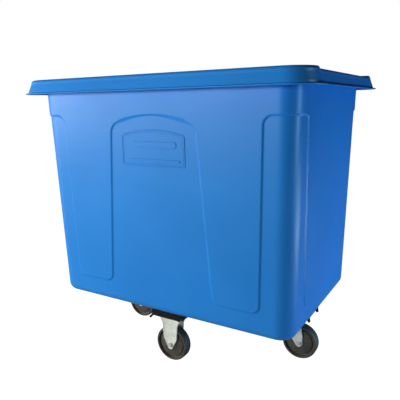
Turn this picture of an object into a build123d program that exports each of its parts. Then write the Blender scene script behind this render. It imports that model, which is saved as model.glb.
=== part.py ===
"""Cube truck: a one-piece polyethylene tub with a turned-down rim, on four casters in a diamond.

Frame: millimetres, +Z up, origin on the floor under the middle of the rim. +X is the long way and
Y the short way. Two rigid casters stand under the middle of the long sides and roll along X. Two
swivel casters stand under the middle of the short ends.
"""

from build123d import *
import os

# ---------------------------------------------------------------- driving dimensions
RIM_LENGTH = 1090.0  # over the lip, along X
RIM_WIDTH = 780.0  # over the lip, along Y
RIM_TOP = 997.0  # height of the rim above the floor
RIM_DEPTH = 49.0  # from the rim's top down to the underside of its lip
TUB_BASE = 202.0  # underside of the tub's floor
WALL = 6.0
RIM_WALL = 5.0

UPPER_LENGTH = 968.0  # wall outline just under the lip
UPPER_WIDTH = 658.0
LOWER_LENGTH = 937.0  # wall outline at the tub's base, before its bottom radius
LOWER_WIDTH = 618.0
WALL_CORNER = 58.0  # vertical corner radius of the walls
BASE_RADIUS = 30.0
RECESS = 3.5  # step from the proud panels back to the recessed ones

LIP_WIDTH = 10.0
LIP_THICKNESS = 4.5
SKIRT_LEAN = 11.0  # how far the skirt leans in over its height
RIM_CORNER = 78.0
RIM_TOP_RADIUS = 11.0
GRIP_HALF_LENGTH = 292.0  # the end rims are set in and down between the corners, as handles
GRIP_SET_IN = 8.0
GRIP_SET_DOWN = 8.0

PANEL_TOP = 873.0  # top of the recessed corner posts
PANEL_FOOT = 283.0  # foot of the proud panels
POST_EDGE_TOP = 380.0  # x of a corner post's edge on the long walls, at PANEL_TOP
POST_EDGE_FOOT = 366.0
ARCH_EDGE_TOP = 162.0  # x of the arched middle panel's edge, at ARCH_SHOULDER
ARCH_EDGE_FOOT = 207.0
ARCH_SHOULDER = 842.0
ARCH_CROWN = 875.0
END_EDGE_TOP = 248.0  # y of the proud end panel's edge, at PANEL_TOP
END_EDGE_FOOT = 201.0
PANEL_CORNER = 28.0
PLATE_HALF_WIDTH = 123.0  # blank name plate inside the arched panel
PLATE_FOOT = 712.0
PLATE_SHOULDER = 812.0
PLATE_CROWN = 830.0
PLATE_RELIEF = 1.5
DRAIN_RADIUS = 10.0  # drain hole in the middle of the tub's floor

RIGID_Y = 234.0  # rigid casters stand at x = 0, y = plus and minus this
SWIVEL_X = 356.0  # swivel pivots stand at y = 0, x = plus and minus this
TRAIL = 38.0  # axle behind the swivel pivot
WHEEL_RADIUS = 63.5
WHEEL_WIDTH = 36.0
HUB_HALF_WIDTH = 18.0
CASTER_HEIGHT = 180.0  # floor to the top of the caster's plate
PLATE_THICKNESS = 4.0
PLATE_X = 104.0
PLATE_Y = 82.0
BOLT_SPACING_X = 80.0
BOLT_SPACING_Y = 62.0
BOLT_RADIUS = 4.0
BOLT_HOLE_RADIUS = 4.3
WASHER_THICKNESS = 1.6
AXLE_NUT_FLATS = 15.0

FORK_INNER = 20.0  # half the gap between the fork's legs
FORK_THICKNESS = 3.2
AXLE_RADIUS = 5.0
SLEEVE_RADIUS = 6.5
BUSH_RADIUS = 10.0
RUNNING_CLEARANCE = 0.06

PAD_X = 144.0
PAD_Y = 98.0
PAD_SKIN = 6.0
PAD_SHIFT = 14.0  # swivel casters' pads reach this much further towards the tub's ends
PAD_SIDE = 5.0
PAD_EAR = 11.0
PAD_EAR_DROP = 18.0

FLOOR_TOP = TUB_BASE + WALL
LIP_BOTTOM = RIM_TOP - RIM_DEPTH
PLATE_BOTTOM = CASTER_HEIGHT - PLATE_THICKNESS
ABOVE = 40.0  # how far cutting bodies run past what they cut


def write(name, *solids):
    """Writes one node, made of one solid or of several separate ones."""
    shape = solids[0] if len(solids) == 1 else Compound(children=list(solids))
    export_step(shape, f"parts/{name}.step")


def box_between(low, high):
    size = [b - a for a, b in zip(low, high)]
    return Pos(*low) * Box(*size, align=(Align.MIN, Align.MIN, Align.MIN))


def rod_z(radius, z0, z1):
    return Pos(0, 0, z0) * extrude(Circle(radius), z1 - z0)


def tube_z(outer, inner, z0, z1):
    """A round tube standing between two heights."""
    return rod_z(outer, z0, z1) - rod_z(inner, z0 - 1, z1 + 1)


def tube_y(outer, inner, y0, y1):
    """The same along Y, from y0 to y1, on the origin's axis."""
    return Rot(-90, 0, 0) * tube_z(outer, inner, y0, y1)


def rod_y(radius, y0, y1):
    return Rot(-90, 0, 0) * rod_z(radius, y0, y1)


# ---------------------------------------------------------------- tub


def wall_size(z):
    """Length and width of the proud wall outline at height z."""
    t = (z - TUB_BASE) / (LIP_BOTTOM - TUB_BASE)
    return (
        LOWER_LENGTH + (UPPER_LENGTH - LOWER_LENGTH) * t,
        LOWER_WIDTH + (UPPER_WIDTH - LOWER_WIDTH) * t,
    )


def drafted(z0, size0, z1, size1, corner):
    """A block that changes evenly in size between two heights, with rounded upright corners."""

    def side_view(plane, across0, across1):
        foot, head = across0 / 2, across1 / 2
        outline = make_face(Polyline((-foot, z0), (foot, z0), (head, z1), (-head, z1), close=True))
        return extrude(plane * outline, RIM_LENGTH, both=True)

    block = side_view(Plane.XZ, size0[0], size1[0]) & side_view(Plane.YZ, size0[1], size1[1])
    uprights = [e for e in block.edges() if abs(e.bounding_box().size.Z - (z1 - z0)) < 0.01]
    return fillet(uprights, corner)


def wall_block(inset, z0, z1, base_radius):
    """The tub's outline, inset evenly, as a solid with a rounded bottom edge."""
    size0, size1 = ([s - 2 * inset for s in wall_size(z)] for z in (z0, z1))
    block = drafted(z0, size0, z1, size1, WALL_CORNER - inset)
    return fillet(block.edges().group_by(Axis.Z)[0], base_radius)


def long_wall_mask():
    """The proud parts of the long walls: the band above the panels and two legs, cut through along Y."""
    reach = RIM_LENGTH / 2
    arch = make_face(
        [
            Polyline(
                (ARCH_EDGE_TOP, ARCH_SHOULDER - ABOVE / 2),
                (ARCH_EDGE_FOOT, PANEL_FOOT - ABOVE),
                (-ARCH_EDGE_FOOT, PANEL_FOOT - ABOVE),
                (-ARCH_EDGE_TOP, ARCH_SHOULDER - ABOVE / 2),
                (-ARCH_EDGE_TOP, ARCH_SHOULDER),
            ),
            ThreePointArc(
                (-ARCH_EDGE_TOP, ARCH_SHOULDER),
                (0, ARCH_CROWN),
                (ARCH_EDGE_TOP, ARCH_SHOULDER),
            ),
            Line((ARCH_EDGE_TOP, ARCH_SHOULDER), (ARCH_EDGE_TOP, ARCH_SHOULDER - ABOVE / 2)),
        ]
    )
    shoulders = [v for v in arch.vertices() if abs(v.Y - ARCH_SHOULDER) < 1]
    arch = fillet(shoulders, PANEL_CORNER)
    leg = make_face(
        Polyline(
            (0, PANEL_FOOT),
            (POST_EDGE_FOOT, PANEL_FOOT),
            (POST_EDGE_TOP, PANEL_TOP),
            (reach, PANEL_TOP),
            (reach, RIM_TOP + ABOVE),
            (0, RIM_TOP + ABOVE),
            close=True,
        )
    )
    foot = [v for v in leg.vertices() if v.X > ABOVE and v.Y < PANEL_FOOT + 1]
    leg = fillet(foot, PANEL_CORNER)
    notch = [v for v in leg.vertices() if abs(v.X - POST_EDGE_TOP) < 1 and abs(v.Y - PANEL_TOP) < 1]
    leg = fillet(notch, PANEL_CORNER)
    profile = leg + leg.mirror(Plane.YZ) - arch
    inner_feet = [v for v in profile.vertices() if v.Y < PANEL_FOOT + 1 and abs(v.X) < ARCH_EDGE_FOOT + 1]
    profile = fillet(inner_feet, PANEL_CORNER)
    return extrude(Plane.XZ * profile, RIM_WIDTH, both=True)


def end_wall_mask():
    """The proud panel of the end walls, hanging from the band above, cut through along X."""
    reach = RIM_WIDTH / 2
    half = make_face(
        Polyline(
            (0, PANEL_FOOT),
            (END_EDGE_FOOT, PANEL_FOOT),
            (END_EDGE_TOP, PANEL_TOP),
            (reach, PANEL_TOP),
            (reach, RIM_TOP + ABOVE),
            (0, RIM_TOP + ABOVE),
            close=True,
        )
    )
    foot = [v for v in half.vertices() if v.X > ABOVE and v.Y < PANEL_FOOT + 1]
    half = fillet(foot, PANEL_CORNER)
    notch = [v for v in half.vertices() if abs(v.X - END_EDGE_TOP) < 1 and abs(v.Y - PANEL_TOP) < 1]
    half = fillet(notch, PANEL_CORNER)
    return extrude(Plane.YZ * (half + half.mirror(Plane.YZ)), RIM_LENGTH, both=True)


def long_ends_only():
    """Keeps the long walls' mask off the end walls."""
    return Box(2 * (POST_EDGE_TOP + WALL_CORNER / 2), 2 * RIM_WIDTH, 3 * RIM_TOP)


def panelled(inset, z0, z1, base_radius, mask):
    """The wall block with its panels: recessed everywhere, and proud where the mask is."""
    recessed = wall_block(inset + RECESS, z0, z1, base_radius)
    proud = wall_block(inset, z0, z1, base_radius)
    return recessed + (proud & mask)


def middle_column():
    """Everything well inside the end walls."""
    return Box(2 * (POST_EDGE_TOP + ABOVE), 2 * RIM_WIDTH, 4 * RIM_TOP)


def rim_block(inset, top):
    """The turned-down rim as a solid, set in and down along the ends, where the handles are."""

    def skirt(length, width, z1):
        lean = SKIRT_LEAN * (z1 - LIP_BOTTOM) / RIM_DEPTH
        size0 = (length - 2 * (LIP_WIDTH + inset), width - 2 * (LIP_WIDTH + inset))
        size1 = (size0[0] - 2 * lean, size0[1] - 2 * lean)
        block = drafted(LIP_BOTTOM, size0, z1, size1, RIM_CORNER - inset)
        return fillet(block.edges().group_by(Axis.Z)[-1], RIM_TOP_RADIUS - inset)

    grip_zone = Box(2 * RIM_LENGTH, 2 * (GRIP_HALF_LENGTH + inset), 3 * RIM_TOP) - middle_column()
    plain = skirt(RIM_LENGTH, RIM_WIDTH, top)
    grip = skirt(RIM_LENGTH - 2 * GRIP_SET_IN, RIM_WIDTH, top - GRIP_SET_DOWN)
    return (plain - grip_zone) + (grip & grip_zone)


def lip_ring():
    """The rim's outward lip, set in along the ends with the handles."""
    outline = RectangleRounded(RIM_LENGTH, RIM_WIDTH, RIM_CORNER + LIP_WIDTH)
    between_corners = Rectangle(2 * RIM_LENGTH, 2 * GRIP_HALF_LENGTH)
    set_in = between_corners - Rectangle(RIM_LENGTH - 2 * GRIP_SET_IN, RIM_WIDTH)
    return Pos(0, 0, LIP_BOTTOM) * extrude(outline - set_in, LIP_THICKNESS)


def name_plate(side):
    """A blank raised plate with an arched head, in the arched panel of one long wall."""
    outline = make_face(
        [
            Polyline(
                (PLATE_HALF_WIDTH, PLATE_SHOULDER),
                (PLATE_HALF_WIDTH, PLATE_FOOT),
                (-PLATE_HALF_WIDTH, PLATE_FOOT),
                (-PLATE_HALF_WIDTH, PLATE_SHOULDER),
            ),
            ThreePointArc(
                (-PLATE_HALF_WIDTH, PLATE_SHOULDER), (0, PLATE_CROWN), (PLATE_HALF_WIDTH, PLATE_SHOULDER)
            ),
        ]
    )
    outline = fillet(outline.vertices(), PANEL_CORNER / 4)
    slab = extrude(Plane.XZ * outline, RIM_WIDTH, both=True)
    half_space = Pos(0, side * RIM_WIDTH / 2, 0) * Box(RIM_LENGTH, RIM_WIDTH, 3 * RIM_TOP)
    shell = wall_block(RECESS - PLATE_RELIEF, TUB_BASE, RIM_TOP, BASE_RADIUS)
    return shell & slab & half_space


def caster_places():
    return {"front": (0, -RIGID_Y), "back": (0, RIGID_Y), "left": (-SWIVEL_X, 0), "right": (SWIVEL_X, 0)}


def bolt_places():
    return [(i * BOLT_SPACING_X / 2, j * BOLT_SPACING_Y / 2) for i in (-1, 1) for j in (-1, 1)]


def tub():
    mask = (long_wall_mask() & long_ends_only()) + (end_wall_mask() - long_ends_only())
    outside = panelled(0, TUB_BASE, RIM_TOP, BASE_RADIUS, mask)
    inside = panelled(WALL, FLOOR_TOP, RIM_TOP + ABOVE, BASE_RADIUS - WALL - RECESS, mask)
    rim = rim_block(0, RIM_TOP) + lip_ring() - rim_block(RIM_WALL, RIM_TOP - RIM_WALL)
    skirt_inside = LIP_WIDTH + RIM_WALL
    opening = RectangleRounded(
        RIM_LENGTH - 2 * (skirt_inside + GRIP_SET_IN),
        RIM_WIDTH - 2 * skirt_inside,
        RIM_CORNER - RIM_WALL,
    )
    lip_opening = Pos(0, 0, LIP_BOTTOM - 1) * extrude(opening, LIP_THICKNESS + 1)
    above_grips = Box(2 * RIM_LENGTH, 2 * GRIP_HALF_LENGTH, 2 * GRIP_SET_DOWN) - middle_column()
    shell = outside - Pos(0, 0, RIM_TOP) * above_grips + name_plate(-1) + name_plate(1) - inside
    body = shell + (rim - lip_opening - inside)
    body -= rod_z(DRAIN_RADIUS, TUB_BASE - 1, FLOOR_TOP + 1)
    for x, y in caster_places().values():
        for i, j in bolt_places():
            body -= Pos(x + i, y + j, 0) * rod_z(BOLT_HOLE_RADIUS, TUB_BASE - 1, FLOOR_TOP + 1)
    return body


# ---------------------------------------------------------------- what every caster has


def caster_pad(shift):
    """Moulded pad between the tub and a caster's plate, with side walls that run past its ends as ears."""
    x0, x1 = shift - PAD_X / 2, shift + PAD_X / 2
    pad = box_between((x0, -PAD_Y / 2, TUB_BASE - PAD_SKIN), (x1, PAD_Y / 2, TUB_BASE))
    pad += box_between((-PLATE_X / 2, -PLATE_Y / 2, CASTER_HEIGHT), (PLATE_X / 2, PLATE_Y / 2, TUB_BASE))
    for y0 in (-PAD_Y / 2, PAD_Y / 2 - PAD_SIDE):
        pad += box_between((x0, y0, PLATE_BOTTOM), (x1, y0 + PAD_SIDE, TUB_BASE))
        for ear in (x0, x1 - PAD_EAR):
            low = (ear, y0, CASTER_HEIGHT - PAD_EAR_DROP)
            pad += box_between(low, (ear + PAD_EAR, y0 + PAD_SIDE, PLATE_BOTTOM))
    for x, y in bolt_places():
        pad -= Pos(x, y, 0) * rod_z(BOLT_HOLE_RADIUS, CASTER_HEIGHT - 1, TUB_BASE + 1)
    return pad


def plate_bolt():
    """Carriage bolt: domed head on its washer inside the tub, shank down through floor, pad and plate."""
    head_radius, head_height = 9.0, 4.5
    seat = FLOOR_TOP + WASHER_THICKNESS
    dome = Pos(0, 0, seat) * scale(Sphere(head_radius), by=(1, 1, head_height / head_radius))
    dome &= rod_z(2 * head_radius, seat, seat + head_height)
    return dome + rod_z(BOLT_RADIUS, PLATE_BOTTOM - 8.5, seat)


def plate_washer():
    return tube_z(11.0, BOLT_RADIUS + 0.1, FLOOR_TOP, FLOOR_TOP + WASHER_THICKNESS)


def hexagon(across_flats, z0, z1):
    return Pos(0, 0, z0) * extrude(RegularPolygon(across_flats / 2, 6, major_radius=False), z1 - z0)


def plate_nut():
    """Flanged nut under the caster's plate."""
    flange_bottom = PLATE_BOTTOM - 1.5
    bottom = PLATE_BOTTOM - 7.0
    nut = rod_z(7.6, flange_bottom, PLATE_BOTTOM) + hexagon(12.7, bottom, flange_bottom)
    return nut - rod_z(BOLT_RADIUS + 0.1, bottom - 1, PLATE_BOTTOM + 1)


def caster_plate():
    plate = Pos(0, 0, PLATE_BOTTOM) * extrude(RectangleRounded(PLATE_X, PLATE_Y, 8), PLATE_THICKNESS)
    for x, y in bolt_places():
        plate -= Pos(x, y, 0) * rod_z(BOLT_HOLE_RADIUS, PLATE_BOTTOM - 1, CASTER_HEIGHT + 1)
    return plate


def wheel():
    """One-piece hard wheel: rounded tread, rim bead, groove, dished web and hub, turned about Y."""
    half = WHEEL_WIDTH / 2
    tread_radius = 5.0
    bead, groove, web_foot, hub = 54.0, 50.0, 24.0, 19.0
    side = [
        (WHEEL_RADIUS, half),
        (bead, half),
        (groove, half - 6.5),
        (web_foot, half - 1.5),
        (hub + 1.5, HUB_HALF_WIDTH - 2),
        (hub, HUB_HALF_WIDTH),
        (BUSH_RADIUS, HUB_HALF_WIDTH),
    ]
    other_side = [(r, -y) for r, y in reversed(side)]
    profile = make_face(Polyline(*side, *other_side, close=True))
    tread_edges = [v for v in profile.vertices() if v.X > WHEEL_RADIUS - 1]
    return revolve(fillet(tread_edges, tread_radius), Axis.Y)


def fork_leg(profile, side):
    """One leg of a fork: a flat pressed plate in the XZ plane, on one side of the wheel."""
    y = side * (FORK_INNER + FORK_THICKNESS / 2)
    return Pos(0, y, 0) * extrude(Plane.XZ * profile, FORK_THICKNESS / 2, both=True)


def wheel_set(name, x, y):
    """Wheel, bush, sleeve, thrust washers, axle bolt and nut, on an axle along Y at (x, y)."""
    place = Pos(x, y, WHEEL_RADIUS)
    outer_face = FORK_INNER + FORK_THICKNESS
    bush_bore = SLEEVE_RADIUS + RUNNING_CLEARANCE
    write(f"{name}_wheel", place * wheel())
    write(f"{name}_wheel_bush", place * tube_y(BUSH_RADIUS, bush_bore, -HUB_HALF_WIDTH, HUB_HALF_WIDTH))
    write(f"{name}_axle_sleeve", place * tube_y(SLEEVE_RADIUS, AXLE_RADIUS, -FORK_INNER, FORK_INNER))
    washer = tube_y(BUSH_RADIUS + 3, SLEEVE_RADIUS, HUB_HALF_WIDTH + 0.4, FORK_INNER)
    write(f"{name}_thrust_washers", place * washer, place * Rot(0, 0, 180) * washer)
    head = Rot(90, 0, 0) * hexagon(AXLE_NUT_FLATS, outer_face, outer_face + 6.0)
    shank = rod_y(AXLE_RADIUS, -outer_face - 6.0, outer_face + 9.0)
    write(f"{name}_axle_bolt", place * (head + shank))
    nut = Rot(-90, 0, 0) * hexagon(AXLE_NUT_FLATS, outer_face, outer_face + 7.0)
    nut -= rod_y(AXLE_RADIUS, 0, outer_face + 9.0)
    write(f"{name}_axle_nut", place * nut)


def leg_outline(points, axle_x, tip, drop):
    """A leg's side view: straight edges down to a rounded tip, centred a little below the axle."""
    tip_z = WHEEL_RADIUS - drop
    neck = 0.95 * tip
    blade = make_face(Polyline(*points, (axle_x + neck, tip_z), (axle_x - neck, tip_z), close=True))
    return blade + Pos(axle_x, tip_z) * Circle(tip) - Pos(axle_x, WHEEL_RADIUS) * Circle(AXLE_RADIUS)


# ---------------------------------------------------------------- rigid caster


def rigid_fork():
    """Pressed fork: its plate and two tapering legs are one piece."""
    top_half, tip, drop = 46.0, 10.5, 9.0
    flare_half, flare_z = 41.0, 158.0
    neck_half, neck_z = 31.5, 138.0
    waist_half, waist_z = 28.0, 86.0
    profile = leg_outline(
        [
            (-waist_half, waist_z),
            (-neck_half, neck_z),
            (-flare_half, flare_z),
            (-top_half, PLATE_BOTTOM + 1),
            (top_half, PLATE_BOTTOM + 1),
            (flare_half, flare_z),
            (neck_half, neck_z),
            (waist_half, waist_z),
        ],
        0,
        tip,
        drop,
    )
    return caster_plate() + fork_leg(profile, -1) + fork_leg(profile, 1)


# ---------------------------------------------------------------- swivel caster

UPPER_BALL_RADIUS = 3.0
UPPER_CIRCLE = 25.0
UPPER_COUNT = 20
LOWER_BALL_RADIUS = 2.5
LOWER_CIRCLE = 14.0
LOWER_COUNT = 14
LOWER_RACE_RADIUS = 19.0
LOWER_RACE_HEIGHT = 6.0
BALL_SEAT_CLEARANCE = 0.05  # balls in the grooves of the yoke, which they turn with
BALL_CLEARANCE = 0.3  # balls in the grooves that they run past
RACE_GAP = 2.0
CROWN_TOP = PLATE_BOTTOM - 9.5
CROWN_BOTTOM = CROWN_TOP - 6.0
CROWN_RADIUS = 36.0
CROWN_HOLE = 9.0
UPPER_BALL_Z = CROWN_TOP + RACE_GAP / 2
LOWER_BALL_Z = CROWN_BOTTOM - RACE_GAP / 2
LOWER_RACE_TOP = LOWER_BALL_Z - RACE_GAP / 2
LOWER_RACE_BOTTOM = LOWER_RACE_TOP - LOWER_RACE_HEIGHT
KINGPIN_RADIUS = 6.0
KINGPIN_HEAD = 4.0


def upper_groove(clearance):
    return Pos(0, 0, UPPER_BALL_Z) * Torus(UPPER_CIRCLE, UPPER_BALL_RADIUS + clearance)


def lower_groove(clearance):
    return Pos(0, 0, LOWER_BALL_Z) * Torus(LOWER_CIRCLE, LOWER_BALL_RADIUS + clearance)


def ball_ring(radius, circle, count, z):
    ball = Pos(circle, 0, z) * Sphere(radius)
    return [Rot(0, 0, 360 * i / count) * ball for i in range(count)]


def swivel_top_plate():
    """Plate with the upper race formed under it, and the kingpin's hole."""
    race = tube_z(UPPER_CIRCLE + 6, UPPER_CIRCLE - 8, UPPER_BALL_Z + RACE_GAP / 2, PLATE_BOTTOM)
    body = caster_plate() + race - upper_groove(BALL_CLEARANCE)
    return body - rod_z(KINGPIN_RADIUS, PLATE_BOTTOM - 1, CASTER_HEIGHT + 1)


def swivel_yoke():
    """Crown with both ball grooves, and two legs that reach back to the axle."""
    front, back, waist_z, tip, drop = -28.0, 38.0, 78.0, 13.5, 1.5
    side = FORK_INNER + FORK_THICKNESS
    crown = rod_z(CROWN_RADIUS, CROWN_BOTTOM, CROWN_TOP)
    crown += box_between((front, -side, CROWN_BOTTOM), (back, side, CROWN_TOP))
    crown -= rod_z(CROWN_HOLE, CROWN_BOTTOM - 1, CROWN_TOP + 1)
    crown -= upper_groove(BALL_SEAT_CLEARANCE)
    crown -= lower_groove(BALL_SEAT_CLEARANCE)
    profile = leg_outline(
        [
            (TRAIL - 2 * tip, waist_z),
            (front, CROWN_BOTTOM + 1),
            (back, CROWN_BOTTOM + 1),
            (TRAIL + 0.97 * tip, waist_z),
        ],
        TRAIL,
        tip,
        drop,
    )
    return crown + fork_leg(profile, -1) + fork_leg(profile, 1)


def lower_race():
    race = tube_z(LOWER_RACE_RADIUS, KINGPIN_RADIUS, LOWER_RACE_BOTTOM, LOWER_RACE_TOP)
    return race - lower_groove(BALL_CLEARANCE)


def kingpin():
    """Rivet through the plate and the lower race, headed over under the race."""
    foot = LOWER_RACE_BOTTOM - KINGPIN_HEAD
    return rod_z(KINGPIN_RADIUS, foot, CASTER_HEIGHT) + rod_z(10.0, foot, LOWER_RACE_BOTTOM)


# ---------------------------------------------------------------- build


def main():
    os.makedirs("parts", exist_ok=True)
    write("tub", tub())
    for name, (x, y) in caster_places().items():
        place = Pos(x, y, 0)
        shift = PAD_SHIFT if x > 0 else -PAD_SHIFT if x < 0 else 0
        write(f"{name}_pad", place * caster_pad(shift))
        for node, piece in (("bolts", plate_bolt()), ("washers", plate_washer()), ("nuts", plate_nut())):
            write(f"{name}_plate_{node}", *[place * Pos(i, j, 0) * piece for i, j in bolt_places()])
        if x == 0:
            write(f"{name}_fork", place * rigid_fork())
            wheel_set(name, x, y)
            continue
        write(f"{name}_top_plate", place * swivel_top_plate())
        write(f"{name}_kingpin", place * kingpin())
        upper = ball_ring(UPPER_BALL_RADIUS, UPPER_CIRCLE, UPPER_COUNT, UPPER_BALL_Z)
        lower = ball_ring(LOWER_BALL_RADIUS, LOWER_CIRCLE, LOWER_COUNT, LOWER_BALL_Z)
        write(f"{name}_upper_balls", *[place * ball for ball in upper])
        write(f"{name}_lower_balls", *[place * ball for ball in lower])
        write(f"{name}_lower_race", place * lower_race())
        write(f"{name}_yoke", place * swivel_yoke())
        wheel_set(name, x + TRAIL, y)


main()
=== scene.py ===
"""Looks for the cube truck: a moulded tub with panels and a hollow rim, on four casters.

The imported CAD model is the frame. The tub, the caster pads, the forks and the wheels get detailed
meshes of their own, in metres, in the row frame: the camera sees the -Y long wall and the +X end.
"""

import math

import bmesh
import bpy
import numpy as np
from mathutils import Matrix, Vector


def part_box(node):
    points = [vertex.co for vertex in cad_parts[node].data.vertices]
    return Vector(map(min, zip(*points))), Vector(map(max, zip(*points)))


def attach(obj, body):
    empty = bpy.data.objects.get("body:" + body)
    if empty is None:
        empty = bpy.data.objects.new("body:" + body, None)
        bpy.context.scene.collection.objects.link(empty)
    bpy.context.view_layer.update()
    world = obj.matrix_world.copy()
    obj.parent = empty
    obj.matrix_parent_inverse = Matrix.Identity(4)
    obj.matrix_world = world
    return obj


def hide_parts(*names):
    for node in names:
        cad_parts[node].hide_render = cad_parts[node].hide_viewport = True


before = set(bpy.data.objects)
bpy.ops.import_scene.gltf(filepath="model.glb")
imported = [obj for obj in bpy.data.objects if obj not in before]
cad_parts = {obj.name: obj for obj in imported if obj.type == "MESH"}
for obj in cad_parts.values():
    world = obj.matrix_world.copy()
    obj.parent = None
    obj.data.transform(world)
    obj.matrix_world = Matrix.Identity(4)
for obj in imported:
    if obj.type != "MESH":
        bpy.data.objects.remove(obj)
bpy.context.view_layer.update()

MM = 0.001

# ---------------------------------------------------------------- sizes taken from the frame
TUB_LOW, TUB_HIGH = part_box("tub")
RIM_HALF_LENGTH = TUB_HIGH.x
RIM_HALF_WIDTH = TUB_HIGH.y
RIM_TOP = TUB_HIGH.z
TUB_BASE = TUB_LOW.z
RIGID_SIDES = ("front", "back")
SWIVEL_SIDES = ("left", "right")
SIDES = RIGID_SIDES + SWIVEL_SIDES
AXLES = {side: (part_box(f"{side}_wheel")[0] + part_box(f"{side}_wheel")[1]) / 2 for side in SIDES}
PIVOTS = {side: (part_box(f"{side}_kingpin")[0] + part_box(f"{side}_kingpin")[1]) / 2 for side in SWIVEL_SIDES}

# ---------------------------------------------------------------- the tub's own sizes
WALL = 6 * MM
RIM_OVERHANG = 61 * MM  # from the wall out to the lip's edge
RIM_HEIGHT = 49 * MM
END_TAPER = 15.5 * MM  # how far the end walls lean in from lip to base
SIDE_TAPER = 20 * MM
UPPER_HALF_LENGTH = RIM_HALF_LENGTH - RIM_OVERHANG  # wall just under the lip
UPPER_HALF_WIDTH = RIM_HALF_WIDTH - RIM_OVERHANG
LOWER_HALF_LENGTH = UPPER_HALF_LENGTH - END_TAPER  # wall at the base
LOWER_HALF_WIDTH = UPPER_HALF_WIDTH - SIDE_TAPER
LIP_Z = RIM_TOP - RIM_HEIGHT  # underside of the lip
WALL_CORNER = 58 * MM
BASE_RADIUS = 30 * MM
DRAIN_RADIUS = 10 * MM  # hole in the middle of the floor
RECESS = 3.5 * MM
STEP_WIDTH = 3.0 * MM  # how wide the slope between proud and recessed panels is

PANEL_TOP = 873 * MM
PANEL_FOOT = 283 * MM
POST_EDGE = (366 * MM, 380 * MM)  # a panel edge's distance from the wall's middle, at its foot and top
ARCH_EDGE = (207 * MM, 160 * MM)
END_EDGE = (201 * MM, 248 * MM)
ARCH_SHOULDER = 842 * MM
ARCH_CROWN = 875 * MM
PANEL_CORNER = 28 * MM
ARCH_CORNER = 22 * MM
END_NOTCH_CORNER = 16 * MM

LIP_WIDTH = 10 * MM
LIP_THICKNESS = 4.5 * MM
RIM_WALL = 5 * MM
SKIRT_LEAN = 11 * MM
SKIRT_CORNER = 78 * MM
TOP_CORNER = 72 * MM
SKIRT_FILLET = 4 * MM  # between the lip's top and the skirt
RIM_TOP_RADIUS = 11 * MM
GRIP_HALF = 291 * MM  # from the middle of an end to the middle of the step beside its grip
GRIP_BLEND = 14 * MM  # half the length of that step
GRIP_SET_IN = 8 * MM
GRIP_SET_DOWN = 4.5 * MM

DENSE = 32 * MM  # fine columns this far to each side of a panel's edge
END_DENSE = 19 * MM
CORNER_STEPS = 12

X_AXIS, Y_AXIS, Z_AXIS = Vector((1, 0, 0)), Vector((0, 1, 0)), Vector((0, 0, 1))


# ---------------------------------------------------------------- small helpers
def in_metres(rows):
    """Rows of millimetres as rows of metres."""
    return [tuple(value * MM for value in row) for row in rows]


def smooth_step(low, high, value):
    """0 below low, 1 above high and a soft rise between."""
    t = np.clip((value - low) / (high - low), 0, 1)
    return t * t * (3 - 2 * t)


def ease(count):
    """Even fractions from 0 up to but not including 1."""
    return [i / count for i in range(count)]


def mesh_object(name, verts, faces, material, smooth=True):
    mesh = bpy.data.meshes.new(name)
    mesh.from_pydata([tuple(v) for v in verts], [], faces)
    mesh.validate()
    piece = bpy.data.objects.new(name, mesh)
    bpy.context.scene.collection.objects.link(piece)
    mesh.materials.append(material)
    for face in mesh.polygons:
        face.use_smooth = smooth
    return piece


def tidy_normals(piece):
    """Points the faces outward and merges coincident points."""
    work = bmesh.new()
    work.from_mesh(piece.data)
    bmesh.ops.remove_doubles(work, verts=work.verts, dist=1e-6)
    bmesh.ops.recalc_face_normals(work, faces=work.faces)
    work.to_mesh(piece.data)
    work.free()


def rounded_outline(corners, steps=6):
    """A closed outline through corners (u, v, radius), with an arc at each corner, anticlockwise."""
    area = sum(a[0] * b[1] - b[0] * a[1] for a, b in zip(corners, corners[1:] + corners[:1]))
    if area < 0:
        corners = corners[::-1]
    outline = []
    for i, (u, v, radius) in enumerate(corners):
        corner = Vector((u, v))
        back = (Vector(corners[i - 1][:2]) - corner).normalized()
        ahead = (Vector(corners[(i + 1) % len(corners)][:2]) - corner).normalized()
        half = back.angle(ahead) / 2
        centre = corner + (back + ahead).normalized() * radius / math.sin(half)
        start = corner + back * radius / math.tan(half) - centre
        end = corner + ahead * radius / math.tan(half) - centre
        turn = start.angle_signed(end)
        for step in range(steps + 1):
            outline.append(centre + Matrix.Rotation(-turn * step / steps, 2) @ start)
    return outline


def inset_outline(outline, distance):
    """The outline moved inward by a distance."""
    moved = []
    for i, point in enumerate(outline):
        along = (outline[(i + 1) % len(outline)] - outline[i - 1]).normalized()
        moved.append(point + Vector((-along.y, along.x)) * distance)
    return moved


def relief(outline, layers, to_space):
    """Points and faces of a plate built up in layers (inset, height) on an outline, closed both ends."""
    verts, faces = [], []
    for inset, height in layers:
        verts += [to_space(u, v, height) for u, v in inset_outline(outline, inset)]
    count = len(outline)
    for layer in range(len(layers) - 1):
        low = layer * count
        for i in range(count):
            j = (i + 1) % count
            faces.append((low + i, low + j, low + count + j, low + count + i))
    last = (len(layers) - 1) * count
    faces.append(tuple(reversed(range(count))))
    faces.append(tuple(last + i for i in range(count)))
    return verts, faces


def lathe(profile, centre, segments, first_axis, second_axis, axis):
    """Points and faces of a closed profile of (radius, along) turned about an axis."""
    verts, faces = [], []
    for i in range(segments):
        a = 2 * math.pi * i / segments
        out = first_axis * math.cos(a) + second_axis * math.sin(a)
        verts += [centre + out * radius + axis * along for radius, along in profile]
    count = len(profile)
    for i in range(segments):
        here, there = i * count, (i + 1) % segments * count
        for k in range(count):
            n = (k + 1) % count
            faces.append((here + k, here + n, there + n, there + k))
    return verts, faces


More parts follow.
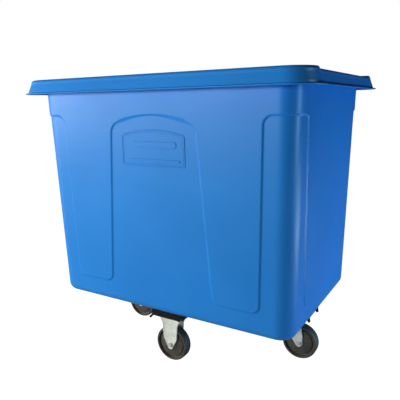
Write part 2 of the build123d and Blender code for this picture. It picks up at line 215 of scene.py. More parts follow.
def joined(parts):
    """Several (points, faces) as one."""
    verts, faces = [], []
    for part_verts, part_faces in parts:
        faces += [tuple(i + len(verts) for i in face) for face in part_faces]
        verts += part_verts
    return verts, faces


def crisp_piece(name, verts, faces, material, body, node_name, angle=35):
    """A piece smooth-shaded up to an angle, that rides a body and stands for a CAD node."""
    piece = mesh_object(name, verts, faces, material)
    tidy_normals(piece)
    piece.data.set_sharp_from_angle(angle=math.radians(angle))
    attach(piece, body)
    if node_name:
        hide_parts(node_name)
    return piece


# ---------------------------------------------------------------- materials
def new_material(name):
    material = bpy.data.materials.new(name)
    material.use_nodes = True
    tree = material.node_tree
    shader = tree.nodes["Principled BSDF"]
    return material, tree, shader


def node(tree, kind, **inputs):
    made = tree.nodes.new(kind)
    for key, value in inputs.items():
        made.inputs[key.replace("_", " ")].default_value = value
    return made


def noise(tree, scale, detail=2.0, roughness=0.5, stretch=(1, 1, 1)):
    """A noise over the object's own coordinates, in features per metre."""
    coords = tree.nodes.new("ShaderNodeTexCoord")
    mapping = tree.nodes.new("ShaderNodeMapping")
    mapping.inputs["Scale"].default_value = stretch
    made = node(tree, "ShaderNodeTexNoise", Scale=scale, Detail=detail, Roughness=roughness)
    tree.links.new(coords.outputs["Object"], mapping.inputs["Vector"])
    tree.links.new(mapping.outputs["Vector"], made.inputs["Vector"])
    return made.outputs["Fac"]


def ramp(tree, value, stops):
    """A colour ramp: stops are (position, colour)."""
    made = tree.nodes.new("ShaderNodeValToRGB")
    elements = made.color_ramp.elements
    while len(elements) < len(stops):
        elements.new(0.5)
    for element, (position, colour) in zip(elements, stops):
        element.position = position
        element.color = (*colour, 1)
    tree.links.new(value, made.inputs["Fac"])
    return made.outputs["Color"]


def span(tree, value, low, high):
    """Maps 0..1 onto low..high."""
    made = tree.nodes.new("ShaderNodeMapRange")
    made.inputs["To Min"].default_value = low
    made.inputs["To Max"].default_value = high
    tree.links.new(value, made.inputs["Value"])
    return made.outputs["Result"]


def bump(tree, shader, height, distance, strength):
    """Fine relief from a height in 0..1, this deep in metres."""
    made = tree.nodes.new("ShaderNodeBump")
    made.inputs["Distance"].default_value = distance
    made.inputs["Strength"].default_value = strength
    tree.links.new(height, made.inputs["Height"])
    tree.links.new(made.outputs["Normal"], shader.inputs["Normal"])


def tub_material():
    """Blue polyethylene: cloudy colour, satin with duller patches, and a fine orange-peel surface."""
    material, tree, shader = new_material("tub_polyethylene")
    cloudy = noise(tree, 3.2, detail=3.0)
    colour = ramp(tree, cloudy, [(0.30, (0.012, 0.205, 0.70)), (0.72, (0.016, 0.235, 0.78))])
    tree.links.new(colour, shader.inputs["Base Color"])
    dull = noise(tree, 9.0, detail=4.0)
    tree.links.new(span(tree, dull, 0.34, 0.46), shader.inputs["Roughness"])
    peel = noise(tree, 260.0, detail=3.0)
    bump(tree, shader, peel, 0.00012, 0.5)
    shader.inputs["IOR"].default_value = 1.51
    shader.inputs["Specular IOR Level"].default_value = 0.22
    return material


def pad_material():
    """Black moulded plastic, satin, with a fine grain and dust-grey scuffs."""
    material, tree, shader = new_material("pad_plastic")
    scuffs = noise(tree, 60.0, detail=6.0)
    colour = ramp(tree, scuffs, [(0.45, (0.0015, 0.002, 0.003)), (0.80, (0.008, 0.009, 0.011))])
    tree.links.new(colour, shader.inputs["Base Color"])
    tree.links.new(span(tree, scuffs, 0.45, 0.65), shader.inputs["Roughness"])
    shader.inputs["Specular IOR Level"].default_value = 0.2
    bump(tree, shader, noise(tree, 900.0, detail=2.0), 0.0001, 0.5)
    return material


def wheel_material():
    """Hard dark-brown moulding compound: faintly blotchy and slightly glossy."""
    material, tree, shader = new_material("wheel_compound")
    blotch = noise(tree, 45.0, detail=5.0)
    colour = ramp(tree, blotch, [(0.30, (0.050, 0.044, 0.039)), (0.75, (0.096, 0.086, 0.077))])
    tree.links.new(colour, shader.inputs["Base Color"])
    tree.links.new(span(tree, noise(tree, 120.0, detail=4.0), 0.30, 0.52), shader.inputs["Roughness"])
    bump(tree, shader, noise(tree, 700.0, detail=3.0), 0.00015, 0.6)
    return material


def tread_material():
    """The rolling face: darker and duller than the moulded sides."""
    material, tree, shader = new_material("wheel_tread")
    tread_mottle = noise(tree, 80.0, detail=6.0)
    colour = ramp(tree, tread_mottle, [(0.35, (0.014, 0.013, 0.012)), (0.80, (0.055, 0.052, 0.048))])
    tree.links.new(colour, shader.inputs["Base Color"])
    tree.links.new(span(tree, tread_mottle, 0.50, 0.72), shader.inputs["Roughness"])
    bump(tree, shader, noise(tree, 500.0, detail=4.0), 0.0002, 0.7)
    return material


def zinc_material(name="zinc_plate", base=(0.86, 0.89, 0.87), rough=(0.26, 0.44)):
    """Bright zinc plate: faintly blue-green and blotchy, brushed fine along Z."""
    material, tree, shader = new_material(name)
    blotch = noise(tree, 55.0, detail=5.0)
    dark = tuple(c * 0.80 for c in base)
    warm = (base[0], base[1] * 0.985, base[2] * 0.96)
    colour = ramp(tree, blotch, [(0.30, dark), (0.55, base), (0.80, warm)])
    tree.links.new(colour, shader.inputs["Base Color"])
    shader.inputs["Metallic"].default_value = 0.3
    brushed = noise(tree, 160.0, detail=4.0, stretch=(6, 6, 0.6))
    tree.links.new(span(tree, brushed, *rough), shader.inputs["Roughness"])
    bump(tree, shader, brushed, 0.00006, 0.4)
    return material


def steel_material():
    """Polished bearing steel."""
    material, tree, shader = new_material("ball_steel")
    marks = noise(tree, 400.0, detail=3.0)
    colour = ramp(tree, marks, [(0.3, (0.55, 0.56, 0.58)), (0.8, (0.78, 0.79, 0.80))])
    tree.links.new(colour, shader.inputs["Base Color"])
    shader.inputs["Metallic"].default_value = 1.0
    tree.links.new(span(tree, marks, 0.10, 0.22), shader.inputs["Roughness"])
    return material


def bush_material():
    """Off-white nylon bush."""
    material, tree, shader = new_material("bush_nylon")
    stain = noise(tree, 90.0, detail=5.0)
    colour = ramp(tree, stain, [(0.3, (0.42, 0.40, 0.34)), (0.8, (0.62, 0.60, 0.54))])
    tree.links.new(colour, shader.inputs["Base Color"])
    tree.links.new(span(tree, stain, 0.40, 0.60), shader.inputs["Roughness"])
    return material


TUB = tub_material()
PAD = pad_material()
WHEEL = wheel_material()
TREAD = tread_material()
ZINC = zinc_material()
FASTENER = zinc_material("zinc_fasteners", (0.70, 0.71, 0.68), (0.28, 0.45))
STEEL = steel_material()
BUSH = bush_material()


# ---------------------------------------------------------------- tub surface
def half_sizes(z):
    """Half length and half width of the proud wall at height z."""
    t = (z - TUB_BASE) / (LIP_Z - TUB_BASE)
    return (
        LOWER_HALF_LENGTH + (UPPER_HALF_LENGTH - LOWER_HALF_LENGTH) * t,
        LOWER_HALF_WIDTH + (UPPER_HALF_WIDTH - LOWER_HALF_WIDTH) * t,
    )


def edge_at(edge, z):
    """Where a panel's slanting edge is at height z, between its foot and its top."""
    t = np.clip((z - PANEL_FOOT) / (PANEL_TOP - PANEL_FOOT), -0.2, 1)
    return edge[0] + (edge[1] - edge[0]) * t


def rounded_meet(a, b, radius):
    """Signed distance to where two half-planes meet, with the corner rounded."""
    a, b = a + radius, b + radius
    return np.hypot(np.maximum(a, 0), np.maximum(b, 0)) + np.minimum(np.maximum(a, b), 0) - radius


def arch_top(x):
    """Height of the arched panel's top edge, a shallow circle through shoulders and crown."""
    half, rise = ARCH_EDGE[1], ARCH_CROWN - ARCH_SHOULDER
    radius = (half * half + rise * rise) / (2 * rise)
    reach = np.minimum(abs(x), radius * 0.9)
    return ARCH_CROWN - radius + np.sqrt(radius * radius - reach**2)


def recess_depth(wall, across, z):
    """How far the surface lies behind the proud panels: wall is long, end or corner."""
    if wall == "corner":
        outside = PANEL_TOP - z
    else:
        edge = POST_EDGE if wall == "long" else END_EDGE
        notch = PANEL_CORNER if wall == "long" else END_NOTCH_CORNER
        post = rounded_meet(edge_at(edge, z) - across, z - PANEL_TOP, notch)
        foot = z - PANEL_FOOT
        outside = rounded_meet(-post, -foot, PANEL_CORNER)
        if wall == "long":
            arch = rounded_meet(across - edge_at(ARCH_EDGE, z), z - arch_top(across), ARCH_CORNER)
            outside = np.maximum(outside, rounded_meet(-arch, -foot, PANEL_CORNER))
    return RECESS * smooth_step(-STEP_WIDTH / 2, STEP_WIDTH / 2, outside)


def wall_columns(wall):
    """Columns of half a wall from its middle to its corner, as (segment, fraction along it)."""
    counts = (9, 26, 7, 26, 2) if wall == "long" else (10, 17, 2)
    return [(segment, t) for segment, count in enumerate(counts) for t in ease(count)]


def column_places(wall, z, straight):
    """Distances from the wall's middle of its columns at height z, on a straight run this long."""
    full = half_sizes(z)
    own = (full[0] if wall == "long" else full[1]) - WALL_CORNER
    if wall == "long":
        arch, post = edge_at(ARCH_EDGE, z), edge_at(POST_EDGE, z)
        marks = [0, arch - DENSE, arch + DENSE, post - DENSE, post + DENSE, own]
    else:
        end = edge_at(END_EDGE, z)
        marks = [0, end - END_DENSE, end + END_DENSE, own]
    marks = np.array(marks) * straight / own
    return [marks[i] + (marks[i + 1] - marks[i]) * t for i, t in wall_columns(wall)]


def ring_outline(z_columns, half_length, half_width, corner):
    """One closed ring of (x, y, nx, ny, wall, across): the columns' places on a rounded rectangle."""
    ring = []
    straight_x, straight_y = half_length - corner, half_width - corner
    long_places = column_places("long", z_columns, straight_x)
    end_places = column_places("end", z_columns, straight_y)

    def turn(cx, cy, start):
        for step in range(CORNER_STEPS):
            a = start + math.pi / 2 * step / CORNER_STEPS
            nx, ny = math.cos(a), math.sin(a)
            ring.append((cx + corner * nx, cy + corner * ny, nx, ny, "corner", 0))

    def run(places, point, normal, wall):
        for place in places:
            x, y = point(place)
            ring.append((x, y, *normal, wall, abs(place)))

    near = [-p for p in reversed(long_places[1:])] + long_places
    side = [-p for p in reversed(end_places[1:])] + end_places
    run(near, lambda p: (p, -half_width), (0, -1), "long")
    turn(straight_x, -straight_y, -math.pi / 2)
    run(side, lambda p: (half_length, p), (1, 0), "end")
    turn(straight_x, straight_y, 0)
    run(near, lambda p: (-p, half_width), (0, 1), "long")
    turn(-straight_x, straight_y, math.pi / 2)
    run(side, lambda p: (-half_length, -p), (-1, 0), "end")
    turn(-straight_x, -straight_y, math.pi)
    return ring


def wall_ring(z, inset, place_z=None, extra=0.0, drop_recess=False):
    """A ring of the wall at height z, inset by the wall's thickness and by the panels' recess."""
    half_length, half_width = half_sizes(z)
    points = []
    for x, y, nx, ny, wall, across in ring_outline(z, half_length, half_width, WALL_CORNER):
        depth = inset + extra + (RECESS if drop_recess else float(recess_depth(wall, across, z)))
        points.append((x - nx * depth, y - ny * depth, z if place_z is None else place_z))
    return points


def rim_ring(offset, z, corner, set_in=0, set_down=0):
    """A ring of the rim, offset inward from the lip; set_in and set_down are shares of the grips' set."""
    half_length, half_width = RIM_HALF_LENGTH - offset, RIM_HALF_WIDTH - offset
    points = []
    for x, y, *_ in ring_outline(LIP_Z, half_length, half_width, corner):
        grip = 1 - smooth_step(GRIP_HALF - GRIP_BLEND, GRIP_HALF + GRIP_BLEND, abs(y))
        if abs(x) < RIM_HALF_LENGTH / 2:
            grip = 0
        inward = math.copysign(GRIP_SET_IN * set_in * grip, x)
        points.append((x - inward, y, z - GRIP_SET_DOWN * set_down * grip))
    return points


def wall_heights():
    """Heights of the wall's rings from above the bottom radius to the lip: fine near panel edges."""
    # (height, rings from it up to the next mark)
    marks = [
        (TUB_BASE + BASE_RADIUS, 5),
        (PANEL_FOOT - 8 * MM, 15),
        (PANEL_FOOT + PANEL_CORNER + 2 * MM, 18),
        (ARCH_SHOULDER - PANEL_CORNER - 6 * MM, 36),
        (PANEL_TOP + 8 * MM, 4),
        (LIP_Z, 0),
    ]
    heights = []
    for (low, count), (high, _) in zip(marks, marks[1:]):
        heights += [low + (high - low) * t for t in ease(count)]
    return heights + [LIP_Z]


def base_rings(inset, floor_z, radius):
    """Rings round the bottom radius, from the flat floor out and up to the wall."""
    rings = []
    steps = 8
    for step in range(steps):
        a = math.pi / 2 * step / steps
        rise = radius * (1 - math.cos(a))
        pull = radius * (1 - math.sin(a))
        rings.append(wall_ring(floor_z + radius, inset, place_z=floor_z + rise, extra=pull, drop_recess=True))
    return rings


def shrunk(ring, factor):
    return [(x * factor, y * factor, z) for x, y, z in ring]


def drain_ring(ring):
    """The ring's points drawn in to the edge of the drain hole."""
    return [(x * DRAIN_RADIUS / math.hypot(x, y), y * DRAIN_RADIUS / math.hypot(x, y), z) for x, y, z in ring]


def hollow_rings():
    """Up the wall inside the hollow rim, across under its top and down the skirt's inside."""
    hollow_top = RIM_TOP - RIM_WALL
    inner = LIP_WIDTH + RIM_WALL
    top_inner = inner + SKIRT_LEAN
    return [
        rim_ring(RIM_OVERHANG, LIP_Z + 18 * MM, WALL_CORNER),
        rim_ring(RIM_OVERHANG, hollow_top - 6 * MM, WALL_CORNER, 0, 1),
        rim_ring(RIM_OVERHANG - 1.8 * MM, hollow_top - 1.8 * MM, WALL_CORNER, 0, 1),
        rim_ring(RIM_OVERHANG - 6 * MM, hollow_top, WALL_CORNER + 4 * MM, 0, 1),
        rim_ring(top_inner + 8 * MM, hollow_top, TOP_CORNER - 6 * MM, 1, 1),
        rim_ring(top_inner + 2.2 * MM, hollow_top - 2 * MM, TOP_CORNER - 4 * MM, 1, 1),
        rim_ring(top_inner - 1 * MM, hollow_top - 8 * MM, TOP_CORNER - 2 * MM, 1, 1),
        rim_ring(inner + 1.5 * MM, LIP_Z + 8 * MM, SKIRT_CORNER - 4 * MM, 1),
        rim_ring(inner, LIP_Z + 2 * MM, SKIRT_CORNER - 4 * MM, 1),
        rim_ring(inner - 1.5 * MM, LIP_Z, SKIRT_CORNER - 3 * MM, 1),
    ]


def lip_rings():
    """The lip's underside, its rounded edge, its top, and the fillet up into the skirt."""
    edge = LIP_THICKNESS / 2
    lip_top = LIP_Z + LIP_THICKNESS
    rings = [rim_ring(LIP_WIDTH / 2, LIP_Z, SKIRT_CORNER + 5 * MM, 1)]
    for step in range(7):
        a = -math.pi / 2 + math.pi * step / 6
        height = LIP_Z + edge * (1 + math.sin(a))
        rings.append(rim_ring(edge * (1 - math.cos(a)), height, SKIRT_CORNER + 9 * MM, 1))
    for step in range(5):
        a = math.pi / 2 * step / 4
        offset = LIP_WIDTH - SKIRT_FILLET + SKIRT_FILLET * math.sin(a)
        height = lip_top + SKIRT_FILLET * (1 - math.cos(a))
        rings.append(rim_ring(offset, height, SKIRT_CORNER + 3 * MM * math.cos(a), 1))
    return rings


def skirt_rings():
    """The skirt, leaning in, then the rounded top edge."""
    low, high = LIP_Z + LIP_THICKNESS + SKIRT_FILLET, RIM_TOP - 12 * MM
    lean = SKIRT_LEAN - 2 * MM  # the rest of the lean is in the rounded edge
    rings = []
    for step in range(1, 7):
        t = step / 6
        rings.append(rim_ring(LIP_WIDTH + lean * t, low + (high - low) * t, SKIRT_CORNER - 3 * MM * t, 1, t))
    for step in range(1, 7):
        a = math.pi / 2 * step / 6
        offset = LIP_WIDTH + lean + RIM_TOP_RADIUS * (1 - math.cos(a))
        height = RIM_TOP - RIM_TOP_RADIUS * (1 - math.sin(a))
        rings.append(rim_ring(offset, height, SKIRT_CORNER - 3 * MM - 3 * MM * step / 6, 1, 1))
    return rings


def rim_top_rings():
    """The flat top, then over the inner edge into the tub."""
    inside = RIM_OVERHANG + WALL
    return [
        rim_ring(inside - 9 * MM, RIM_TOP, WALL_CORNER + 4 * MM, 0, 1),
        rim_ring(inside - 4 * MM, RIM_TOP, WALL_CORNER - 2 * MM, 0, 1),
        rim_ring(inside - 1.2 * MM, RIM_TOP - 1.2 * MM, WALL_CORNER - 5 * MM, 0, 1),
        rim_ring(inside, RIM_TOP - 4 * MM, WALL_CORNER - 6 * MM, 0, 1),
    ]


def build_tub():
    """One closed skin: from the drain out and up the outside, over the rim and down the inside."""
    outer_base = base_rings(0, TUB_BASE, BASE_RADIUS)
    inner_base = base_rings(WALL, TUB_BASE + WALL, BASE_RADIUS - WALL)
    floor_shares = (0.30, 0.65, 0.9)
    rings = [drain_ring(outer_base[0])]
    rings += [shrunk(outer_base[0], share) for share in floor_shares] + outer_base
    rings += [wall_ring(z, 0) for z in wall_heights()]
    rings += hollow_rings() + lip_rings() + skirt_rings() + rim_top_rings()
    rings += [wall_ring(z, WALL) for z in reversed(wall_heights()) if z > TUB_BASE + BASE_RADIUS]
    rings += inner_base[::-1] + [shrunk(inner_base[0], share) for share in reversed(floor_shares)]
    rings.append(drain_ring(inner_base[0]))

    count = len(rings[0])
    verts = [p for ring in rings for p in ring]
    faces = []
    for r in range(len(rings)):
        low, high = r * count, (r + 1) % len(rings) * count
        for i in range(count):
            j = (i + 1) % count
            faces.append((low + i, low + j, high + j, high + i))
    tub = mesh_object("tub_moulding", verts, faces, TUB)
    tidy_normals(tub)
    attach(tub, "truck")
    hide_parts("tub")


build_tub()

# ---------------------------------------------------------------- name plates on the long walls
PLATE_HALF = 123 * MM
PLATE_FOOT = 712 * MM
PLATE_SHOULDER = 812 * MM
PLATE_CROWN = 830 * MM
# (inset, height) in mm
PLATE_RIDGES = [(0, -1.0), (0, 0.4), (0.8, 1.5), (2.6, 1.5), (3.4, 0.5), (6.0, 0.5)]
PLATE_RIDGES += [(6.6, 1.1), (7.8, 1.1), (8.4, 0.5)]
BAR_LAYERS = [(0, -1.0), (0, 1.7), (0.8, 2.3)]
PLATE_BARS = ((-78, 92, 772, 792), (-92, 104, 726, 736))  # left, right, foot and top, in mm


def plate_outline():
    """The plate's outline: straight foot and sides under a shallow arch."""
    rise = PLATE_CROWN - PLATE_SHOULDER
    radius = (PLATE_HALF**2 + rise**2) / (2 * rise)
    head = []
    for step in range(1, 12):
        u = PLATE_HALF * (1 - step / 6)
        head.append((u, PLATE_CROWN - radius + math.sqrt(radius**2 - u**2), 0.5 * MM))
    return rounded_outline(
        [
            (-PLATE_HALF, PLATE_FOOT, 9 * MM),
            (PLATE_HALF, PLATE_FOOT, 9 * MM),
            (PLATE_HALF, PLATE_SHOULDER, 10 * MM),
            *head,
            (-PLATE_HALF, PLATE_SHOULDER, 10 * MM),
        ],
        steps=4,
    )


def bar_outline(left, right, foot, top):
    """A bar with nearly round ends."""
    radius = (top - foot) * 0.45
    corners = [(left, foot, radius), (right, foot, radius), (right, top, radius), (left, top, radius)]
    return rounded_outline(corners)


def build_name_plate(side_name, side):
    """A blank plate with a double ridge round it and two plain bars, moulded on the arched panel."""

    def on_wall(u, v, height):
        wall_y = half_sizes(v)[1] - RECESS
        return Vector((-side * u, side * (wall_y + height), v))

    parts = [relief(plate_outline(), in_metres(PLATE_RIDGES), on_wall)]
    for bar in PLATE_BARS:
        outline = bar_outline(*(edge * MM for edge in bar))
        parts.append(relief(outline, in_metres(BAR_LAYERS), on_wall))
    verts, faces = joined(parts)
    crisp_piece(f"{side_name}_name_plate", verts, faces, TUB, "truck", None, 25)


build_name_plate("front", -1)
build_name_plate("back", 1)

# ---------------------------------------------------------------- wheels
WHEEL_LOW, WHEEL_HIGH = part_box("front_wheel")
WHEEL_RADIUS = (WHEEL_HIGH.z - WHEEL_LOW.z) / 2
WHEEL_HALF = (WHEEL_HIGH.y - WHEEL_LOW.y) / 2
BORE = 10 * MM
WHEEL_SEGMENTS = 112
TREAD_DEPTH = 2.2 * MM  # faces this near the outside get the tread's finish


def arc(centre_u, centre_v, radius, start, end, steps):
    """Points along an arc, angles in degrees."""
    angles = [math.radians(start + (end - start) * i / steps) for i in range(steps + 1)]
    return [(centre_u + radius * math.cos(a), centre_v + radius * math.sin(a)) for a in angles]


def wheel_profile():
    """The wheel's closed section: crowned tread, round shoulders, rim bead, groove, dished web, hub."""
    outer, half, bore = WHEEL_RADIUS / MM, WHEEL_HALF / MM, BORE / MM
    tread = [(outer, half * 0.2), (outer - 0.25, half * 0.5)]
    tread += arc(outer - 6.5, half - 6.2, 6.2, 4, 86, 7)
    bead = [(55.6, half), *arc(55.0, half - 1.2, 1.2, 90, 175, 3)]
    groove = [(53.2, half - 8.0), *arc(51.6, half - 8.0, 1.6, 0, -90, 3)]
    groove += [(48.0, half - 9.4), (46.2, half - 5.2)]
    web = [(44.0, half - 4.7), (38.0, half - 3.9), (30.0, half - 2.8), (25.5, half - 2.2)]
    hub = [(22.6, half - 1.9), *arc(21.4, half - 1.2, 1.2, -35, 90, 3)]
    hub += [(bore + 1.2, half), (bore, half - 1.2)]
    side = tread + bead + groove + web + hub
    return in_metres(side + [(radius, -along) for radius, along in reversed(side)])


def build_wheel(side):
    verts, faces = lathe(wheel_profile(), AXLES[side], WHEEL_SEGMENTS, X_AXIS, Z_AXIS, Y_AXIS)
    name = f"{side}_wheel_moulding"
    wheel = crisp_piece(name, verts, faces, WHEEL, f"wheel_{side}", f"{side}_wheel", 40)
    wheel.data.materials.append(TREAD)
    for face in wheel.data.polygons:
        reach = face.center - AXLES[side]
        if math.hypot(reach.x, reach.z) > WHEEL_RADIUS - TREAD_DEPTH:
            face.material_index = 1


for side in SIDES:
    build_wheel(side)

# ---------------------------------------------------------------- forks and yokes
FORK_LOW, FORK_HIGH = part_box("front_fork")
SEAT_Z = FORK_HIGH.z  # top of the casters' plates
PLATE_THICKNESS = 4 * MM
PLATE_HALF_X = (FORK_HIGH.x - FORK_LOW.x) / 2
PLATE_HALF_Y = (FORK_HIGH.y - FORK_LOW.y) / 2
LEG_INNER = 20 * MM
LEG_OUTER = 23.2 * MM
BOSS_RADIUS = 11.5 * MM
AXLE_HOLE = 4.8 * MM
# (inset, height) in mm: a raised border round a sunk middle
LEG_LAYERS = [(0, 0), (0, 2.3), (0.3, 2.9), (0.9, 3.2), (3.6, 3.2), (4.3, 2.9), (5.0, 2.3), (5.6, 2.1)]


def fork_leg(outline, side, centre):
    """A pressed leg: raised round its edge, sunk in the middle, on one side of the wheel."""

    def across(u, v, height):
        return centre + Vector((u, side * (LEG_INNER + height), v))

    return relief(outline, in_metres(LEG_LAYERS), across)


def axle_boss(side, axle):
    """The raised ring that the axle's bolt or nut bears on."""
    inner, outer = LEG_INNER + 1.5 * MM, LEG_OUTER
    profile = [(AXLE_HOLE, inner), (BOSS_RADIUS, inner), (BOSS_RADIUS - 1.3 * MM, outer), (AXLE_HOLE, outer)]
    return lathe([(r, side * y) for r, y in profile], axle, 40, X_AXIS, Z_AXIS, Y_AXIS)


def caster_plate(centre):
    """The plate that bolts to the tub, with rounded corners and edges."""
    x, y = PLATE_HALF_X, PLATE_HALF_Y
    corner = 8 * MM
    outline = rounded_outline([(-x, -y, corner), (x, -y, corner), (x, y, corner), (-x, y, corner)])
    layers = [(0.8, 0), (0, 0.8), (0, 3.2), (0.8, 4.0)]

    def lying(u, v, height):
        return centre + Vector((u, v, SEAT_Z - PLATE_THICKNESS + height))

    return relief(outline, in_metres(layers), lying)


def shoulder(half_length, side, centre, z):
    """The round bend between a plate and a leg: a bar along X."""
    bend = 5 * MM
    start = LEG_OUTER - bend
    section = [(start, z), (start, z - bend)]
    for step in range(7):
        a = math.pi / 2 * step / 6
        section.append((start + bend * math.cos(a), z - bend + bend * math.sin(a)))
    verts = []
    count = len(section)
    for x in (-half_length, half_length):
        verts += [centre + Vector((x, side * y, height)) for y, height in section]
    faces = [tuple(range(count)), tuple(reversed(range(count, 2 * count)))]
    for i in range(count):
        j = (i + 1) % count
        faces.append((i, j, count + j, count + i))
    return verts, faces


def build_rigid_fork(side):
    """Plate and two legs that flare at the top, narrow, and close in a V to the axle."""
    place = AXLES[side]
    centre = Vector((place.x, place.y, 0))
    top = (SEAT_Z - PLATE_THICKNESS) / MM + 0.5
    # (half width, height, corner radius) in mm, from the plate down to the axle
    half = [(45.5, top, 1.5), (40.5, 158, 14), (31, 138, 16), (27.5, 86, 9), (0, 32, 10.5)]
    corners = half + [(-x, z, r) for x, z, r in reversed(half[:-1])]
    outline = rounded_outline(in_metres(corners))
    parts = [caster_plate(centre)]
    for leg in (-1, 1):
        parts += [fork_leg(outline, leg, centre), axle_boss(leg, place)]
    verts, faces = joined(parts)
    crisp_piece(f"{side}_fork_pressing", verts, faces, ZINC, "truck", f"{side}_fork")


def build_yoke(side):
    """Swivel crown, a dished ring, with two raked legs to the axle."""
    pivot, axle = PIVOTS[side], AXLES[side]
    centre = Vector((pivot.x, pivot.y, 0))
    trail = (axle.x - pivot.x) / MM
    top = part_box(f"{side}_yoke")[1].z / MM
    bottom = top - 6
    # the crown's section as (radius, height), then the legs' corners as (x, height, corner radius), in mm
    ring = [(9, bottom), (14, bottom), (33.5, bottom), (36, bottom + 2.2), (36, top - 1.5), (34.5, top)]
    ring += [(29, top), (27.2, top - 1.6), (25, top - 2.1), (22.8, top - 1.6), (21, top)]
    ring += [(10, top), (9, top - 1)]
    parts = [lathe(in_metres(ring), centre, 72, X_AXIS, Y_AXIS, Z_AXIS)]
    corners = [(-28, bottom + 1, 3), (38, bottom + 1, 3), (trail + 13.5, 92, 30)]
    corners += [(trail + 13.5, 17.7, 13.4), (trail - 27, 78, 16)]
    outline = rounded_outline(in_metres(corners))
    for leg in (-1, 1):
        parts += [fork_leg(outline, leg, centre), axle_boss(leg, axle)]
        parts.append(shoulder(29 * MM, leg, centre + Vector((4 * MM, 0, 0)), (bottom + 3) * MM))
    verts, faces = joined(parts)
    crisp_piece(f"{side}_yoke_pressing", verts, faces, ZINC, f"swivel_{side}", f"{side}_yoke")


for side in RIGID_SIDES:
    build_rigid_fork(side)
for side in SWIVEL_SIDES:
    build_yoke(side)


# ---------------------------------------------------------------- caster pads
def block(low, high, corner, bevel):
    """A block with rounded upright corners and bevelled top and bottom edges."""
    corners = [(low.x, low.y, corner), (high.x, low.y, corner)]
    corners += [(high.x, high.y, corner), (low.x, high.y, corner)]
    height = high.z - low.z
    layers = [(bevel, 0), (0, bevel), (0, height - bevel), (bevel, height)]
    return relief(rounded_outline(corners), layers, lambda u, v, h: Vector((u, v, low.z + h)))


def pad_walls(low, high, rigid):
    """A pad's two side walls, whose ends hang down as hooked ears; a rigid caster's far end slants."""
    top, wall, edge = high.z, 5 * MM, 0.9 * MM
    foot, wall_foot = low.z, SEAT_Z - PLATE_THICKNESS
    # (distance in from the pad's end, height, corner radius)
    ear = [
        (0, top, 1.5 * MM),
        (1.6 * MM, wall_foot + 4 * MM, 8 * MM),
        (0, foot + 2 * MM, 2.4 * MM),
        (7.5 * MM, foot, 3 * MM),
        (12 * MM, wall_foot - 3.5 * MM, 4 * MM),
        (19 * MM, wall_foot, 5 * MM),
    ]
    hook = [
        (19 * MM, top, 1.5 * MM),
        (14 * MM, wall_foot + 3 * MM, 3 * MM),
        (2 * MM, foot + 6 * MM, 2.4 * MM),
        (4 * MM, foot, 2 * MM),
        (10 * MM, foot + 2 * MM, 2 * MM),
        (19 * MM, wall_foot - 1 * MM, 4 * MM),
        (27 * MM, wall_foot, 5 * MM),
    ]
    slant = [(0, top, 1.5 * MM), (14 * MM, wall_foot - 3 * MM, 3 * MM), (24 * MM, wall_foot, 5 * MM)]
    near_end, far_end = (hook, slant) if rigid else (ear, ear)
    corners = [(low.x + inward, z, radius) for inward, z, radius in near_end]
    corners += [(high.x - inward, z, radius) for inward, z, radius in reversed(far_end)]
    outline = rounded_outline(corners, steps=5)
    layers = [(edge, 0), (0, edge), (0, wall - edge), (edge, wall)]
    front = relief(outline, layers, lambda u, v, height: Vector((u, low.y + height, v)))
    back = relief(outline, layers, lambda u, v, height: Vector((u, high.y - height, v)))
    return [front, back]


def build_pad(side):
    """Moulded spacer: a body under the floor, a seat for the plate, two ribs and the side walls."""
    low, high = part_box(f"{side}_pad")
    rigid = side in RIGID_SIDES
    centre = AXLES[side] if rigid else PIVOTS[side]
    top = high.z
    seat_top = top - 5 * MM
    seat_x, seat_y = PLATE_HALF_X - 0.5 * MM, PLATE_HALF_Y - 0.5 * MM
    body_start = low.x + (20 * MM if rigid else 1 * MM)
    body_low = Vector((body_start, low.y + 1 * MM, top - 6 * MM))
    parts = [block(body_low, Vector((high.x - 1 * MM, high.y - 1 * MM, top)), 4 * MM, 1 * MM)]
    seat_low = Vector((centre.x - seat_x, centre.y - seat_y, SEAT_Z))
    parts.append(block(seat_low, Vector((centre.x + seat_x, centre.y + seat_y, seat_top)), 6 * MM, 0.8 * MM))
    parts += pad_walls(low, high, rigid)
    for x in (body_start + 2 * MM, high.x - 7 * MM):
        rib_low = Vector((x, low.y + 3 * MM, SEAT_Z - 2 * MM))
        parts.append(block(rib_low, Vector((x + 4 * MM, high.y - 3 * MM, seat_top)), 1 * MM, 0.6 * MM))
    verts, faces = joined(parts)
    crisp_piece(f"{side}_pad_moulding", verts, faces, PAD, "truck", f"{side}_pad")


for side in SIDES:
    build_pad(side)

# ---------------------------------------------------------------- finishes of the CAD pieces
NODE_FINISH = (
    ("_plate_bolts", FASTENER),
    ("_plate_washers", FASTENER),
    ("_plate_nuts", FASTENER),
    ("_axle_bolt", FASTENER),
    ("_axle_nut", FASTENER),
    ("_axle_sleeve", FASTENER),
    ("_thrust_washers", FASTENER),
    ("_balls", STEEL),
    ("_wheel_bush", BUSH),
    ("_wheel", WHEEL),
    ("_pad", PAD),
    ("tub", TUB),
)


def finish_for(name):
    """The material of a CAD node by the ending of its name; plates and forks are plain zinc."""
    for ending, material in NODE_FINISH:
        if name.endswith(ending):
            return material
    return ZINC


for name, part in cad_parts.items():
    for slot in part.material_slots:
        slot.material = finish_for(name)


# ---------------------------------------------------------------- stage, lights and camera
FLOOR_SIZE = 14


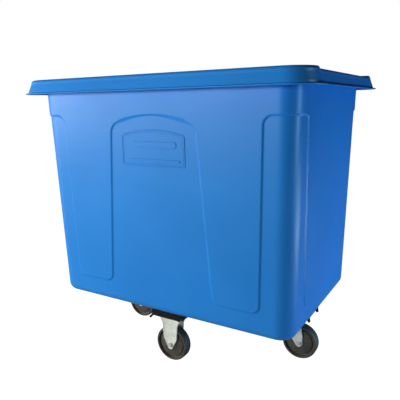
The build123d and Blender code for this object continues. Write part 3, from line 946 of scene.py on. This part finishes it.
def stage_material():
    """Pale seamless paper that the camera sees evenly lit, with only a trace of the object's shadow."""
    material, tree, shader = new_material("floor_paper")
    shader.inputs["Base Color"].default_value = (0.42, 0.42, 0.42, 1)
    shader.inputs["Roughness"].default_value = 0.85
    shader.inputs["Specular IOR Level"].default_value = 0.1
    shader.inputs["Emission Color"].default_value = (1, 1, 1, 1)
    path = tree.nodes.new("ShaderNodeLightPath")
    glow = span(tree, path.outputs["Is Camera Ray"], 0.07, 1.0)
    tree.links.new(glow, shader.inputs["Emission Strength"])
    return material


def build_floor():
    bpy.ops.mesh.primitive_plane_add(size=FLOOR_SIZE)
    floor = bpy.context.object
    floor.name = "floor"
    floor.data.materials.append(stage_material())


def area_light(name, place, target, size, power, colour):
    lamp = bpy.data.lights.new(name, "AREA")
    lamp.shape = "RECTANGLE"
    lamp.size, lamp.size_y = size
    lamp.energy = power
    lamp.color = colour
    light = bpy.data.objects.new(name, lamp)
    bpy.context.scene.collection.objects.link(light)
    light.location = place
    light.rotation_euler = (Vector(target) - Vector(place)).to_track_quat("-Z", "Y").to_euler()
    return light


# name: (place, target, size, watts, tint)
LIGHTS = {
    "left_low": ((-2.79, -1.02, 0.97), (0, 0, 0.55), (1.3, 1.3), 12, (1.0, 1.0, 0.92)),
    "front_left": ((-2.75, -2.15, 1.00), (0, 0, 0.80), (1.4, 0.5), 54, (1.0, 1.0, 0.86)),
    "front_sheen": ((-1.15, -2.95, 1.12), (0.1, 0, 0.90), (1.4, 0.5), 50, (1.0, 1.0, 0.88)),
    "right_low": ((1.75, 0.35, 0.15), (0.5, 0, 0.28), (0.9, 0.3), 14, (0.55, 0.84, 1.0)),
}
CORNER_SHEEN = ((2.9, -0.20, 1.30), (0.5, -0.35, 0.95), (0.45, 1.9), 120, (0.22, 0.62, 1.0))


def build_lights():
    """Soft lights from the left, the front and low at the right, and a tall strip for the near corner."""
    for name, values in LIGHTS.items():
        area_light(name, *values)
    # the strip only adds its reflection, a sheen down the corner
    area_light("corner_sheen", *CORNER_SHEEN).visible_diffuse = False


def build_world():
    """White to the camera, and nearly dark as a light on the object."""
    world = bpy.data.worlds.new("studio")
    world.use_nodes = True
    tree = world.node_tree
    dim = tree.nodes["Background"]
    dim.inputs["Color"].default_value = (1, 1, 1, 1)
    dim.inputs["Strength"].default_value = 0.02
    seen = node(tree, "ShaderNodeBackground", Color=(1, 1, 1, 1), Strength=1.0)
    path = tree.nodes.new("ShaderNodeLightPath")
    mix = tree.nodes.new("ShaderNodeMixShader")
    tree.links.new(path.outputs["Is Camera Ray"], mix.inputs["Fac"])
    tree.links.new(dim.outputs["Background"], mix.inputs[1])
    tree.links.new(seen.outputs["Background"], mix.inputs[2])
    tree.links.new(mix.outputs["Shader"], tree.nodes["World Output"].inputs["Surface"])
    bpy.context.scene.world = world


def build_camera():
    """Stands off the near corner at about the rim's height, turned and tipped as in a catalogue view."""
    turn, tip, roll = 0.544, 0.202, -0.0171  # radians
    place = Vector((0.8906, -1.5066, 0.9035))
    ahead = Vector((-math.sin(turn) * math.cos(tip), math.cos(turn) * math.cos(tip), -math.sin(tip)))
    right = Vector((math.cos(turn), math.sin(turn), 0))
    above = right.cross(ahead)
    right, above = (
        right * math.cos(roll) + above * math.sin(roll),
        above * math.cos(roll) - right * math.sin(roll),
    )
    lens = bpy.data.cameras.new("camera")
    lens.sensor_width = 36.0
    lens.lens = 41.88
    camera = bpy.data.objects.new("camera", lens)
    bpy.context.scene.collection.objects.link(camera)
    axes = Matrix((right, above, -ahead)).transposed()
    camera.matrix_world = Matrix.Translation(place) @ axes.to_4x4()
    bpy.context.scene.camera = camera


build_floor()
build_lights()
build_world()
build_camera()
bpy.context.scene.view_settings.view_transform = "Standard"
